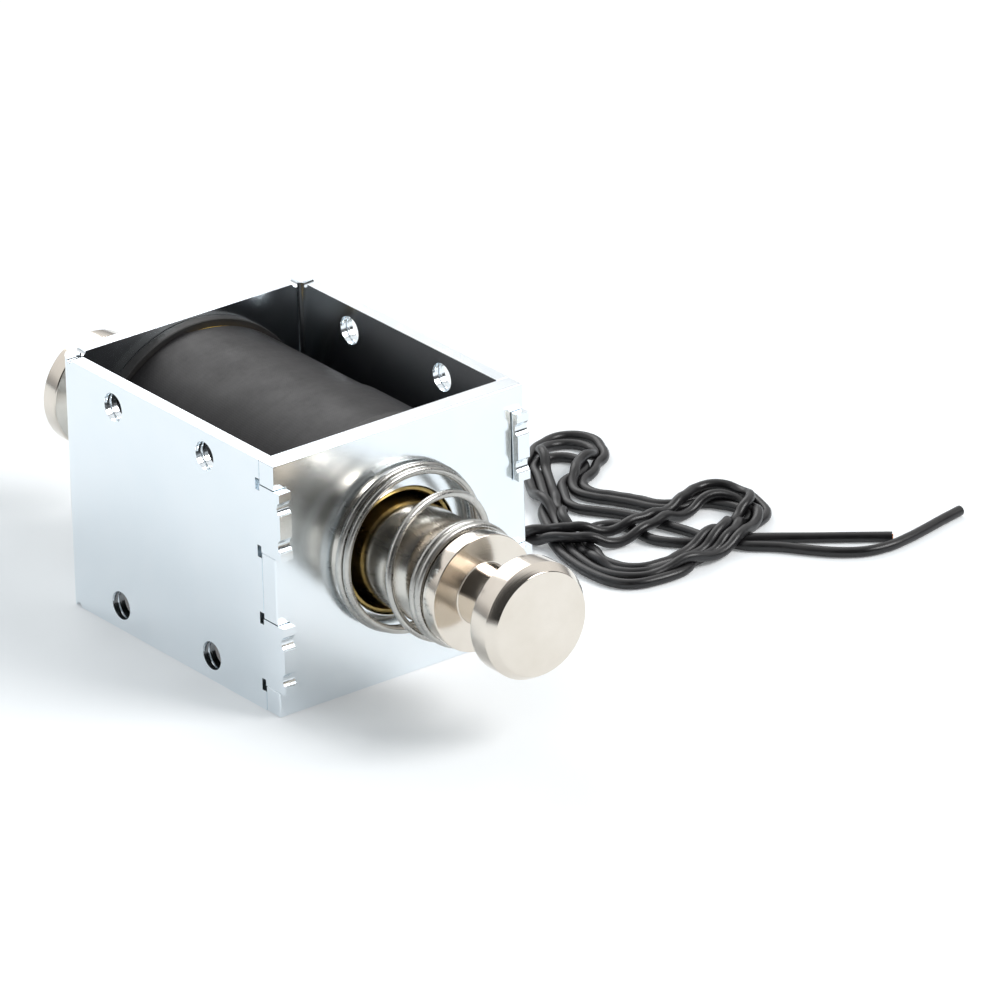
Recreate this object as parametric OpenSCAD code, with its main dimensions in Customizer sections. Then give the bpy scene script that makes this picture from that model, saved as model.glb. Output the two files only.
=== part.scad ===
// Push-pull solenoid: an open frame folded from one strip and closed by a staked
// end plate, a taped coil, a turned plunger with a conical return spring, a push
// rod with a rear pad, and two loose leads.
// Millimetres. +Y runs from the pull end to the push end and +Z is up.
// The origin is on the ground, midway between the two ends of the moving train.

/* [Coil] */
// Diameter over the thickest tape of the coil
coil_d = 28.8; // [26:0.2:34]
// Length of the coil over both bobbin flanges
coil_len = 35.9; // [31:0.1:46]
// Thickness of each bobbin flange
flange_t = 1.4; // [1:0.1:2]
// How far the bobbin flanges stand proud of the tape, on the radius
flange_lip = 0.4; // [0.2:0.1:0.5]
// Wall of the bobbin barrel
barrel_wall = 0.8; // [0.6:0.1:1.2]
// Thickness of the polyester film over the winding
film_t = 0.2; // [0.1:0.05:0.4]
// Thickness of the black cloth tape over the film
tape_t = 0.3; // [0.2:0.05:0.5]
// Thickness of the second, shorter turn of tape at the pull end
overlap_t = 0.2; // [0.1:0.05:0.4]
// Length of the second turn of tape
overlap_len = 10.6; // [8:0.2:14]
// Strip of film left bare at each end of the winding
bare_film = 0.9; // [0.4:0.1:1.6]

/* [Frame] */
// Gap between the coil and each side plate
side_gap = 1; // [0.6:0.1:3]
// Gap between the coil and the open top and bottom
top_gap = 0.6; // [0.5:0.1:2]
// Thickness of the folded strip that makes both sides and the push end
side_t = 1.6; // [1.2:0.1:2.4]
// Outside radius of the strip's two bends
bend_r = 2.3; // [2:0.1:3]
// Radius of the nicks at both ends of each bend line
nick_r = 0.5; // [0.3:0.1:0.7]
// Thickness of the staked pull-end plate
end_t = 2.5; // [2:0.1:3.2]
// Height of each tab on the side plates
tab_h = 8; // [6:0.2:9]
// Distance between the centres of the two tabs
tab_pitch = 16; // [14.5:0.5:18]
// How far the tabs stand out past the pull-end plate
tab_proud = 1.1; // [0.6:0.1:1.6]
// Play between a tab and its notch, on each side
tab_play = 0.05; // [0.02:0.01:0.1]
// Width of the corner reliefs beside the tabs
relief_w = 0.7; // [0.4:0.1:1]
// Height of the corner reliefs beside the tabs
relief_h = 1.4; // [0.8:0.1:1.6]
// Radius of the chisel that stakes the tabs
stake_r = 0.9; // [0.6:0.1:1.1]
// Depth of the two stake marks in each tab
stake_depth = 0.5; // [0.2:0.1:0.6]
// Distance between the two stake marks of a tab
stake_pitch = 4.4; // [3.6:0.2:4.8]

/* [Mounting holes] */
// Tapping drill of the mounting holes
hole_d = 3.3; // [2.5:0.1:3.4]
// Hole spacing along the frame
hole_pitch_y = 17; // [14:0.5:19]
// Distance from a hole's centre to the nearer open edge of the frame
hole_edge = 3; // [2.5:0.1:5]
// Middle of the hole pattern behind the outer face of the pull-end plate
hole_mid_y = 21; // [18:0.5:22]

/* [Plunger] */
// Diameter of the plunger body
body_d = 12.4; // [11:0.2:13]
// Diameter of the coupling head and of the spring flange
head_d = 13.5; // [13.5:0.1:15]
// Length of the coupling head
head_len = 3.8; // [3.2:0.1:6]
// Height of the bevel round the end of the coupling head, on the radius
bevel_r = 0.75; // [0.3:0.05:1.2]
// Length of the same bevel along the axis
bevel_len = 1.2; // [0.4:0.1:1.6]
// Diameter of the neck between flange and head
neck_d = 7; // [6:0.2:8]
// Width of the coupling groove
groove_w = 6.5; // [4.5:0.1:9]
// Thickness of the spring flange
flange_len = 2; // [1.4:0.1:3]
// Travel of the plunger
stroke = 10; // [6:0.5:10]
// Length of the cone on the inner end of the plunger
cone_len = 3; // [2:0.1:4]
// Gap left in the cone when the plunger is fully home
seat_gap = 0.3; // [0.2:0.05:0.5]

/* [Guide tube and core] */
// Running clearance of the plunger in the guide tube, on the radius
run_play = 0.08; // [0.05:0.01:0.1]
// Wall of the brass guide tube
tube_wall = 1.02; // [0.8:0.02:1.2]
// Play between tube and plates, on the radius
tube_play = 0.1; // [0.05:0.01:0.2]
// How far the mouth of the tube sits back in the pull-end plate
mouth_set = 0.3; // [0.1:0.1:0.6]
// Flare of the tube mouth, on the radius
mouth_flare = 0.6; // [0.3:0.05:0.7]
// Depth of the flare
mouth_depth = 1.6; // [1:0.1:2.4]
// Length of the fixed core inside the tube
core_len = 16.4; // [13:0.1:18]
// Thickness of the anti-stick shim on the core
shim_t = 0.2; // [0.1:0.05:0.3]

/* [Push rod] */
// Diameter of the push rod
rod_d = 5; // [4:0.2:5.6]
// Running clearance of the rod in its bush, on the radius
rod_play = 0.06; // [0.05:0.01:0.1]
// Wall of the bronze bush
bush_wall = 1; // [0.8:0.1:1.2]
// Length of the bronze bush
bush_len = 5; // [4:0.2:7]
// How far the rod is screwed into the plunger
rod_grip = 9; // [6:0.5:10]
// Reach of the push pad behind the push-end plate
rear_reach = 18.3; // [16.5:0.1:24]
// Thickness of the push pad
pad_t = 2.5; // [2:0.1:4]
// Length of the hub under the push pad
hub_len = 3; // [2:0.1:3.2]
// Diameter of the roll pin through the hub
roll_pin_d = 1.2; // [1:0.1:1.4]
// Thickness of the rubber bumper
bumper_t = 1.5; // [1:0.1:1.8]
// Wall of the rubber bumper
bumper_wall = 2.6; // [2:0.1:3]
// Thickness of the retaining ring
clip_t = 0.8; // [0.6:0.1:1]
// How far the retaining ring stands out of its groove
clip_lip = 1.6; // [1:0.1:2]
// Depth of the ring groove in the rod
clip_groove = 0.5; // [0.3:0.05:0.7]

/* [Return spring] */
// Spring wire diameter
wire_d = 0.9; // [0.6:0.05:1]
// Mean diameter of the largest coil
spring_big_d = 18.8; // [17:0.2:21]
// Length of the spring between plate and flange with the plunger out
spring_len = 12.6; // [11.5:0.1:16]
// Closed coils at each end
closed_coils = 1.75; // [1:0.25:1.75]
// Open coils between the closed ends
open_coils = 1.4; // [1:0.1:2.5]
// Angle round the axis at which the largest coil's wire ends
spring_start = -49; // [-180:1:180]
// Spring clearance to the plate, the flange and the plunger
spring_play = 0.05; // [0.05:0.01:0.15]

/* [Leads] */
// Diameter of each insulated lead
lead_d = 1.2; // [1:0.1:1.4]
// Diameter of the sleeve on each lead
sleeve_d = 2; // [1.8:0.1:2.2]
// Width of the lead slot in the right side plate
slot_w = 4.8; // [4.7:0.1:6]
// Height of the lead slot
slot_h = 2.4; // [2.3:0.1:3]

/* [Hidden] */
$fn = 96;
hair = 0.01;

// Frame, worked out from the coil that it holds
frame_w = coil_d + 2 * (side_gap + side_t);
frame_h = coil_d + 2 * top_gap;
frame_len = coil_len + end_t + side_t;
back_z = frame_len - side_t;
axis_z = frame_h / 2;

// Moving train, along the axis from the outer face of the pull-end plate
front_reach = spring_len + flange_len + groove_w + head_len;
face_y = (front_reach - rear_reach - frame_len) / 2;
body_r = body_d / 2;
head_r = head_d / 2;
neck_r = neck_d / 2;
rod_r = rod_d / 2;

// Guide tube, core and bush
tube_r = body_r + run_play;
tube_out_r = tube_r + tube_wall;
bore_r = tube_out_r + tube_play;
core_z = back_z - core_len;
shoulder_z = core_z - shim_t - seat_gap - stroke;
cone_tip_r = rod_r + 1;
bush_r = rod_r + rod_play;
bush_out_r = bush_r + bush_wall;
core_bore_r = rod_r + 2 * rod_play;

// Coil build-up, on the radius
overlap_r = coil_d / 2;
tape_r = overlap_r - overlap_t;
film_r = tape_r - tape_t;
winding_r = film_r - film_t;
barrel_r = bore_r + barrel_wall;
wind_z0 = end_t + flange_t;
wind_z1 = back_z - flange_t;

// Rear stop
clip_z = frame_len + bumper_t + spring_play;
pad_r = head_d / 2;
hub_r = neck_d / 2;
pad_z = frame_len + rear_reach - pad_t;

// Conical spring
spring_small_d = body_d + 2 * spring_play + wire_d;
spring_pitch = wire_d + spring_play;

// Leads
slot_y = hole_mid_y;
lead_gap = sleeve_d + 0.2;
sleeve_out = 2.5;
sleeve_z = sleeve_d / 2 + 0.1;
lead_r = lead_d / 2;

// Routes of the leads, as [x, y, z]: x and y count from the sleeve's outer end on
// the two leads and from the middle of both sleeves on the tails, z from the ground
lead_a_route = [
    [0, 0, sleeve_z],
    [2.5, 0, sleeve_z],
    [5, -0.2, 0.8],
    [8, -0.4, lead_r],
    [11, -0.4, lead_r],
    [13, -0.2, lead_r]
];
lead_b_route = [
    [0, 0, sleeve_z],
    [2.5, 0, sleeve_z],
    [5, 0.3, 0.8],
    [8, 0.6, lead_r],
    [11, 0.5, lead_r],
    [15, 0.3, lead_r]
];
tail_a_route = [
    [30, -17.9, lead_r],
    [31.5, -19.2, lead_r],
    [33.5, -20.8, lead_r],
    [36.5, -23.3, lead_r],
    [40, -26.1, lead_r],
    [43.2, -28.7, lead_r]
];
tail_b_route = [
    [28, -18.5, lead_r],
    [29.5, -20.3, lead_r],
    [32, -22.8, lead_r],
    [34, -25.6, lead_r],
    [36, -28, lead_r],
    [38.5, -29.8, lead_r],
    [41.5, -30.4, lead_r],
    [44.5, -30.1, lead_r],
    [47.5, -29.5, lead_r],
    [50.5, -28.8, lead_r],
    [53.5, -28.2, lead_r]
];

// The loose bundle: the two ends of each of its runs, counted as the tails are
hank_runs = [
    [[30.5, 13.5], [17, -4]],
    [[17, -4], [15.5, -17]],
    [[15.5, -17], [32, -12.5]],
    [[17, -4], [32, -12.5]],
    [[24, 2], [32, -12.5]]
];
hank_w = 10;
hank_h = 3 * lead_d;

// Places a part that was drawn upright along the axis, with its z = 0 at the
// outer face of the pull-end plate and its z running towards the push end.
module on_axis() {
    translate([0, face_y, axis_z])
        rotate([-90, 0, 0])
            children();
}

// Round tube drawn upright between two heights
module ring(r_in, r_out, z0, z1) {
    translate([0, 0, z0])
        difference() {
            cylinder(r = r_out, h = z1 - z0);
            translate([0, 0, -hair])
                cylinder(r = r_in, h = z1 - z0 + 2 * hair);
        }
}

// One tab of a side plate, standing on the sheet's edge, with two stake marks
module tab() {
    reach = end_t + tab_proud;
    difference() {
        translate([0, 0, -tab_h / 2])
            cube([side_t, reach, tab_h]);
        for (side = [-1, 1])
            translate([-hair, reach + stake_r - stake_depth, side * stake_pitch / 2])
                rotate([0, 90, 0])
                    cylinder(r = stake_r, h = side_t + 2 * hair, $fn = 32);
    }
}

// Quarter turn of the strip, from a side plate's sheet to the push end
module corner_bend() {
    translate([bend_r, frame_len - bend_r, 0])
        difference() {
            intersection() {
                cylinder(r = bend_r, h = frame_h);
                translate([-bend_r, 0, 0])
                    cube([bend_r, bend_r, frame_h]);
            }
            translate([0, 0, -hair])
                cylinder(r = bend_r - side_t, h = frame_h + 2 * hair);
        }
}

// Side of the strip with its outer face at x = 0: tabs at the pull end, tapped
// holes, and the bend at the push end
module side_blank() {
    difference() {
        union() {
            translate([0, end_t, 0])
                cube([side_t, frame_len - end_t - bend_r, frame_h]);
            corner_bend();
            for (z = [-1, 1] * tab_pitch / 2)
                translate([0, end_t, axis_z + z])
                    mirror([0, 1, 0])
                        tab();
        }
        for (z = [-1, 1] * tab_pitch / 2, edge = [-1, 1] * tab_h / 2)
            translate([-hair, end_t, axis_z + z + edge - relief_h / 2])
                cube([side_t + 2 * hair, relief_w, relief_h]);
        for (y = [-1, 1] * hole_pitch_y / 2, z = [hole_edge, frame_h - hole_edge])
            translate([-hair, hole_mid_y + y, z])
                rotate([0, 90, 0])
                    cylinder(d = hole_d, h = side_t + 2 * hair, $fn = 48);
        for (z = [0, frame_h]) {
            translate([-hair, frame_len - bend_r, z])
                rotate([0, 90, 0])
                    cylinder(r = nick_r, h = side_t + 2 * hair);
            translate([bend_r, back_z - hair, z])
                rotate([-90, 0, 0])
                    cylinder(r = nick_r, h = side_t + 2 * hair);
        }
    }
}

module left_side_plate() {
    color([0.80, 0.85, 0.89])
        translate([-frame_w / 2, face_y, 0])
            side_blank();
}

module right_side_plate() {
    color([0.80, 0.85, 0.89])
        difference() {
            translate([frame_w / 2, face_y, 0])
                mirror([1, 0, 0])
                    side_blank();
            translate([frame_w / 2 - side_t - hair, face_y + slot_y - slot_w / 2, -hair])
                cube([side_t + 2 * hair, slot_w, slot_h + hair]);
        }
}

// Plate let into the strip's open end, with a notch for every tab
module pull_end_plate() {
    notch_h = tab_h + 2 * tab_play;
    notch_w = side_t + tab_play;
    color([0.93, 0.95, 0.96])
        translate([0, face_y, 0])
            difference() {
                translate([-frame_w / 2, 0, 0])
                    cube([frame_w, end_t, frame_h]);
                for (side = [-1, 1], z = [-1, 1] * tab_pitch / 2)
                    translate([side * (frame_w + hair - notch_w) / 2, end_t / 2, axis_z + z])
                        cube([notch_w + hair, end_t + 2 * hair, notch_h], center = true);
                translate([0, -hair, axis_z])
                    rotate([-90, 0, 0])
                        cylinder(r = bore_r, h = end_t + 2 * hair);
            }
}

// Middle of the strip, between its two bends
module push_end_plate() {
    flat_w = frame_w - 2 * bend_r;
    color([0.93, 0.95, 0.96])
        translate([0, face_y + back_z, 0])
            difference() {
                translate([-flat_w / 2, 0, 0])
                    cube([flat_w, side_t, frame_h]);
                translate([0, -hair, axis_z])
                    rotate([-90, 0, 0])
                        cylinder(r = bore_r, h = side_t + 2 * hair);
                for (side = [-1, 1], z = [0, frame_h])
                    translate([side * flat_w / 2, -hair, z])
                        rotate([-90, 0, 0])
                            cylinder(r = nick_r, h = side_t + 2 * hair);
            }
}

// Brass liner with a flared mouth that the plunger runs in
module guide_tube() {
    color([0.80, 0.66, 0.30])
        on_axis()
            rotate_extrude()
                polygon([
                    [tube_r + mouth_flare, mouth_set],
                    [tube_out_r, mouth_set],
                    [tube_out_r, back_z],
                    [tube_r, back_z],
                    [tube_r, mouth_set + mouth_depth]
                ]);
}

// Moulded bobbin: a thin barrel between two round flanges
module bobbin() {
    lip_r = overlap_r + flange_lip;
    color([0.20, 0.19, 0.18])
        on_axis()
            rotate_extrude()
                polygon([
                    [bore_r, end_t],
                    [lip_r, end_t],
                    [lip_r, wind_z0],
                    [barrel_r, wind_z0],
                    [barrel_r, wind_z1],
                    [lip_r, wind_z1],
                    [lip_r, back_z],
                    [bore_r, back_z]
                ]);
}

module winding() {
    color([0.75, 0.42, 0.20])
        on_axis()
            ring(barrel_r, winding_r, wind_z0, wind_z1);
}

module polyester_film() {
    color([0.85, 0.68, 0.20])
        on_axis()
            ring(winding_r, film_r, wind_z0, wind_z1);
}

module cloth_tape() {
    color([0.27, 0.26, 0.27])
        on_axis()
            ring(film_r, tape_r, wind_z0 + bare_film, wind_z1 - bare_film);
}

module tape_overlap() {
    color([0.30, 0.29, 0.30])
        on_axis()
            ring(tape_r, overlap_r, wind_z0 + bare_film, wind_z0 + bare_film + overlap_len);
}

// Fixed core: coned at the pole face, with a collar staked in the push-end plate
module fixed_core() {
    cone_mouth_r = body_r - 0.4;
    color([0.70, 0.70, 0.68])
        on_axis()
            rotate_extrude()
                polygon([
                    [cone_tip_r, core_z + cone_len],
                    [cone_mouth_r, core_z],
                    [body_r, core_z],
                    [body_r, back_z],
                    [bore_r - tube_play / 2, back_z],
                    [bore_r - tube_play / 2, frame_len],
                    [bush_out_r, frame_len],
                    [bush_out_r, frame_len - bush_len],
                    [core_bore_r, frame_len - bush_len],
                    [core_bore_r, core_z + cone_len]
                ]);
}

module rod_bush() {
    color([0.66, 0.47, 0.25])
        on_axis()
            ring(bush_r, bush_out_r, frame_len - bush_len, frame_len);
}

module core_shim() {
    color([0.86, 0.76, 0.45])
        on_axis()
            ring(body_r - 0.4, body_r, core_z - shim_t, core_z);
}

module bumper_washer() {
    color([0.12, 0.12, 0.12])
        on_axis()
            ring(core_bore_r + 0.2, core_bore_r + bumper_wall, frame_len, frame_len + bumper_t);
}

// Turned plunger: coupling head, neck, spring flange, body and coned inner end
module plunger() {
    z_flange = -spring_len - flange_len;
    z_head = z_flange - groove_w;
    edge = 0.2;
    color([0.90, 0.87, 0.81])
        on_axis()
            difference() {
                rotate_extrude()
                    polygon([
                        [0, z_head - head_len],
                        [head_r - bevel_r, z_head - head_len],
                        [head_r, z_head - head_len + bevel_len],
                        [head_r, z_head - edge],
                        [head_r - edge, z_head],
                        [neck_r, z_head],
                        [neck_r, z_flange],
                        [head_r - edge, z_flange],
                        [head_r, z_flange + edge],
                        [head_r, -spring_len - edge],
                        [head_r - edge, -spring_len],
                        [body_r, -spring_len],
                        [body_r, shoulder_z],
                        [body_r - 0.4, shoulder_z],
                        [cone_tip_r, shoulder_z + cone_len],
                        [0, shoulder_z + cone_len]
                    ]);
                translate([0, 0, shoulder_z + cone_len - rod_grip])
                    cylinder(r = rod_r, h = rod_grip + hair);
            }
}

// Push rod with the groove for the retaining ring and the cross hole for the pin
module push_rod() {
    rod_z0 = shoulder_z + cone_len - rod_grip;
    color([0.78, 0.79, 0.80])
        on_axis()
            difference() {
                translate([0, 0, rod_z0])
                    cylinder(r = rod_r, h = pad_z - rod_z0);
                ring(rod_r - clip_groove, rod_r + 1, clip_z, clip_z + clip_t);
                translate([0, 0, pad_z - hub_len / 2])
                    rotate([90, 0, 0])
                        cylinder(d = roll_pin_d, h = rod_d + 2, center = true, $fn = 32);
            }
}

// Open retaining ring, snapped into the groove of the rod
module retaining_ring() {
    in_r = rod_r - clip_groove;
    out_r = rod_r + clip_lip;
    color([0.45, 0.46, 0.48])
        on_axis()
            difference() {
                ring(in_r, out_r, clip_z, clip_z + clip_t);
                translate([0, out_r / 2 + hair, clip_z + clip_t / 2])
                    cube([1.2 * in_r, out_r + 2 * hair, clip_t + 2 * hair], center = true);
                for (side = [-1, 1])
                    translate([side * out_r, -out_r / 3, clip_z - hair])
                        cylinder(r = clip_lip / 1.6, h = clip_t + 2 * hair, $fn = 32);
            }
}

// Push pad with a hub that the rod's end sits in
module push_pad() {
    edge = 0.35;
    z_end = pad_z + pad_t;
    color([0.88, 0.83, 0.72])
        on_axis()
            difference() {
                rotate_extrude()
                    polygon([
                        [0, pad_z],
                        [rod_r, pad_z],
                        [rod_r, pad_z - hub_len],
                        [hub_r, pad_z - hub_len],
                        [hub_r, pad_z],
                        [pad_r - edge / 2, pad_z],
                        [pad_r, pad_z + edge / 2],
                        [pad_r, z_end - edge],
                        [pad_r - edge, z_end],
                        [0, z_end]
                    ]);
                translate([0, 0, pad_z - hub_len / 2])
                    rotate([90, 0, 0])
                        cylinder(d = roll_pin_d, h = 2 * hub_r + 2, center = true, $fn = 32);
            }
}

module roll_pin() {
    color([0.55, 0.56, 0.58])
        on_axis()
            translate([0, 0, pad_z - hub_len / 2])
                rotate([90, 0, 0])
                    cylinder(d = roll_pin_d, h = 2 * hub_r - 0.4, center = true, $fn = 32);
}

// Conical spring: how far along its closed and open coils it is at turn t
spring_turns = 2 * closed_coils + open_coils;
spring_free = spring_len - wire_d - 2 * spring_play - 2 * closed_coils * spring_pitch;
function spring_open(t) = let (s = min(1, max(0, (t - closed_coils) / open_coils)))
    s * s * (3 - 2 * s);
function spring_rise(t) = t * spring_pitch
    + (spring_free - open_coils * spring_pitch) * spring_open(t);
function spring_r(t) = (spring_big_d + (spring_small_d - spring_big_d) * spring_open(t)) / 2;
function spring_point(t) = [
    spring_r(t) * cos(360 * t + spring_start),
    -spring_r(t) * sin(360 * t + spring_start),
    -wire_d / 2 - spring_play - spring_rise(t)
];

// Tube swept along points, with a ring of corners square to the path at each one
function unit(v) = v / norm(v);
function heading(p, i) = unit(p[min(i + 1, len(p) - 1)] - p[max(i - 1, 0)]);
function sweep_ring(p, i, r, sides) =
    let (t = heading(p, i), a = unit(cross(t, [0, 0, 1])), b = cross(a, t))
    [for (k = [0:sides - 1])
        p[i] + r * (cos(360 * (k + 0.5) / sides) * a + sin(360 * (k + 0.5) / sides) * b)];

module swept_tube(p, r, sides) {
    last = len(p) - 1;
    corners = [for (i = [0:last]) each sweep_ring(p, i, r, sides)];
    skin = [
        for (i = [0:last - 1], k = [0:sides - 1])
            let (n = (k + 1) % sides)
                [i * sides + k, i * sides + n, (i + 1) * sides + n, (i + 1) * sides + k]
    ];
    caps = [
        [for (k = [sides - 1:-1:0]) k],
        [for (k = [0:sides - 1]) last * sides + k]
    ];
    polyhedron(corners, concat(skin, caps), convexity = 10);
}

module return_spring() {
    steps = 30;
    count = ceil(spring_turns * steps);
    path = [for (i = [0:count]) spring_point(i * spring_turns / count)];
    color([0.62, 0.62, 0.60])
        on_axis()
            swept_tube(path, wire_d / 2, 8);
}

// Sleeves that carry the two leads out through the slot in the right side plate
module lead_sleeves() {
    in_z = axis_z - sleeve_z - sleeve_d / 2;
    in_x = sqrt(pow(overlap_r, 2) - pow(in_z, 2)) + 0.2;
    color([0.10, 0.10, 0.10])
        for (side = [-1, 1])
            translate([in_x, face_y + slot_y + side * lead_gap / 2, sleeve_z])
                rotate([0, 90, 0])
                    cylinder(d = sleeve_d, h = frame_w / 2 + sleeve_out - in_x, $fn = 32);
}

// Puts a lead or the bundle where the sleeves end
module from_sleeves(side) {
    translate([frame_w / 2 + sleeve_out, face_y + slot_y + side * lead_gap / 2, 0])
        children();
}

module lead_a() {
    color([0.12, 0.12, 0.13])
        from_sleeves(-1)
            swept_tube(lead_a_route, lead_r, 8);
}

module lead_b() {
    color([0.12, 0.12, 0.13])
        from_sleeves(1)
            swept_tube(lead_b_route, lead_r, 8);
}

module tail_a() {
    color([0.12, 0.12, 0.13])
        from_sleeves(0)
            swept_tube(tail_a_route, lead_r, 8);
}

module tail_b() {
    color([0.12, 0.12, 0.13])
        from_sleeves(0)
            swept_tube(tail_b_route, lead_r, 8);
}

// Outline of one run of the bundle: a bar with round ends
module run(ends) {
    hull()
        for (place = ends)
            translate(place)
                circle(d = hank_w, $fn = 32);
}

module wire_hank() {
    color([0.12, 0.12, 0.13])
        from_sleeves(0)
            linear_extrude(hank_h)
                for (ends = hank_runs)
                    run(ends);
}

left_side_plate();
right_side_plate();
pull_end_plate();
push_end_plate();
guide_tube();
bobbin();
winding();
polyester_film();
cloth_tape();
tape_overlap();
fixed_core();
rod_bush();
core_shim();
bumper_washer();
plunger();
push_rod();
retaining_ring();
push_pad();
roll_pin();
return_spring();
lead_sleeves();
lead_a();
lead_b();
wire_hank();
tail_a();
tail_b();
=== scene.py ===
"""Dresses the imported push-pull solenoid: studio, leads, frame, coil, plunger and spring."""
import functools
import logging
import math
from dataclasses import dataclass
from enum import Enum
from typing import Dict, List, Optional, Sequence, Tuple

import bmesh
import bpy
import numpy as np
from mathutils import Matrix, Vector


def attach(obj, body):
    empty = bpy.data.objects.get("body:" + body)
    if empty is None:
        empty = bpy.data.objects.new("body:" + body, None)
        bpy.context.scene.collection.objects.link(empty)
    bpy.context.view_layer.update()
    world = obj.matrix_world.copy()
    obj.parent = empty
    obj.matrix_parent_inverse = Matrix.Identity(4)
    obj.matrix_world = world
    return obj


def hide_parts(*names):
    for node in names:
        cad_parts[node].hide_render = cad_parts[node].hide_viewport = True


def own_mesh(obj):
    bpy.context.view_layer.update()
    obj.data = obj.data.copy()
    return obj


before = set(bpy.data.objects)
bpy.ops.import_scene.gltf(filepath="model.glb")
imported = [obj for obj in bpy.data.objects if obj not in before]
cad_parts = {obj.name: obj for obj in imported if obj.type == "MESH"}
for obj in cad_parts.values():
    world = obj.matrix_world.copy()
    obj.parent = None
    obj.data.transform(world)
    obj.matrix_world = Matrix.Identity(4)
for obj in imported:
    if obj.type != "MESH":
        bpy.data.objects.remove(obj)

LOG = logging.getLogger("solenoid")
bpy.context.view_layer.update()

# One millimetre in metres, and the height of the plunger's axis in millimetres.
MM = 0.001
AXIS_Z = 15.0

Point = Tuple[float, float, float]
Colour = Tuple[float, float, float]
Piece = bpy.types.Object
Socket = bpy.types.NodeSocket
Tree = bpy.types.NodeTree
Material = bpy.types.Material


# ---------------------------------------------------------------- names

class Body(Enum):
    """The two rigid bodies of the model."""

    FRAME = "frame"
    ARMATURE = "armature"


class Slot(Enum):
    """The record's material slots."""

    ZINC = "zinc_steel"
    NICKEL = "nickel_steel"
    GROUND = "ground_steel"
    CORE = "core_steel"
    SPRING = "spring_steel"
    BRASS = "brass"
    BRONZE = "bronze"
    BOBBIN = "bobbin_plastic"
    COPPER = "enamelled_copper"
    AMBER = "amber_film"
    TAPE = "black_tape"
    RUBBER = "black_rubber"
    SLEEVING = "black_sleeving"
    INSULATION = "black_insulation"


class Grain(Enum):
    """The way that the fine lines of a metal run."""

    ROLLED = "rolled"
    TURNED = "turned"
    DRAWN = "drawn"


# ---------------------------------------------------------------- shader nodes

class Nodes:
    """Short calls that add nodes to one node tree."""

    def __init__(self, tree: Tree) -> None:
        """Keeps the tree.

        Args:
            tree: the tree that the nodes go into.
        """
        self.tree = tree

    def node(self, kind: str, links: Optional[Dict] = None, **values: object) -> bpy.types.Node:
        """Adds a node, sets its properties and feeds its inputs.

        Args:
            kind: the node's type, without the leading ShaderNode.
            links: input name or number to an output socket or to a plain value.
            values: properties of the node.

        Returns:
            The new node.
        """
        made = self.tree.nodes.new("ShaderNode" + kind)
        for key, value in values.items():
            setattr(made, key, value)
        for key, source in (links or {}).items():
            if isinstance(source, Socket):
                self.tree.links.new(source, made.inputs[key])
            else:
                made.inputs[key].default_value = source
        return made

    def math(self, operation: str, first: object, second: object = 0.0) -> Socket:
        """Adds a math node and returns its output.

        Args:
            operation: the node's operation.
            first: its first input, a socket or a number.
            second: its second input, a socket or a number.

        Returns:
            The output socket.
        """
        return self.node("Math", {0: first, 1: second}, operation=operation).outputs[0]


class GroupMaker(Nodes):
    """Builds one shader node group, with named inputs and outputs."""

    def __init__(self, name: str, outputs: Sequence[str], inputs: Dict[str, float]) -> None:
        """Starts a group that takes a vector and numbers, and gives numbers.

        Args:
            name: the name of the group.
            outputs: the names of its outputs.
            inputs: the name and default value of each number that it takes.
        """
        super().__init__(bpy.data.node_groups.new(name, "ShaderNodeTree"))
        new = self.tree.interface.new_socket
        new("Vector", in_out="INPUT", socket_type="NodeSocketVector")
        for key, value in inputs.items():
            new(key, in_out="INPUT", socket_type="NodeSocketFloat").default_value = value
        for key in outputs:
            new(key, in_out="OUTPUT", socket_type="NodeSocketFloat")
        self.inputs = self.tree.nodes.new("NodeGroupInput").outputs
        self.outputs = self.tree.nodes.new("NodeGroupOutput").inputs

    def done(self, outputs: Dict[str, Socket]) -> Tree:
        """Connects the group's outputs.

        Args:
            outputs: output name to the socket that feeds it.

        Returns:
            The finished group.
        """
        for name, source in outputs.items():
            self.tree.links.new(source, self.outputs[name])
        return self.tree


@functools.cache
def blotches_group() -> Tree:
    """Slow patches of two sizes, for plating, tarnish and handling marks.

    Returns:
        The group, with outputs Mask and Value; Value lies between Low and High.
    """
    made = GroupMaker(
        "blotches", ("Mask", "Value"), {"Scale": 200.0, "Contrast": 2.0, "Low": 0.2, "High": 0.4},
    )
    vector, scale = made.inputs["Vector"], made.inputs["Scale"]
    finer = 5.3
    large_share = 0.68
    fine_scale = made.math("MULTIPLY", scale, finer)
    large = made.node("TexNoise", {"Vector": vector, "Scale": scale, "Detail": 3.0}).outputs[0]
    fine = made.node("TexNoise", {"Vector": vector, "Scale": fine_scale, "Detail": 4.0}).outputs[0]
    both = made.math(
        "ADD",
        made.math("MULTIPLY", large, large_share),
        made.math("MULTIPLY", fine, 1 - large_share),
    )
    away = made.math("MULTIPLY", made.math("SUBTRACT", both, 0.5), made.inputs["Contrast"])
    mask = made.node("Math", {0: away, 1: 0.5}, operation="ADD", use_clamp=True).outputs[0]
    low, high = made.inputs["Low"], made.inputs["High"]
    value = made.node("MapRange", {"Value": mask, "To Min": low, "To Max": high}).outputs[0]
    return made.done({"Mask": mask, "Value": value})


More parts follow.
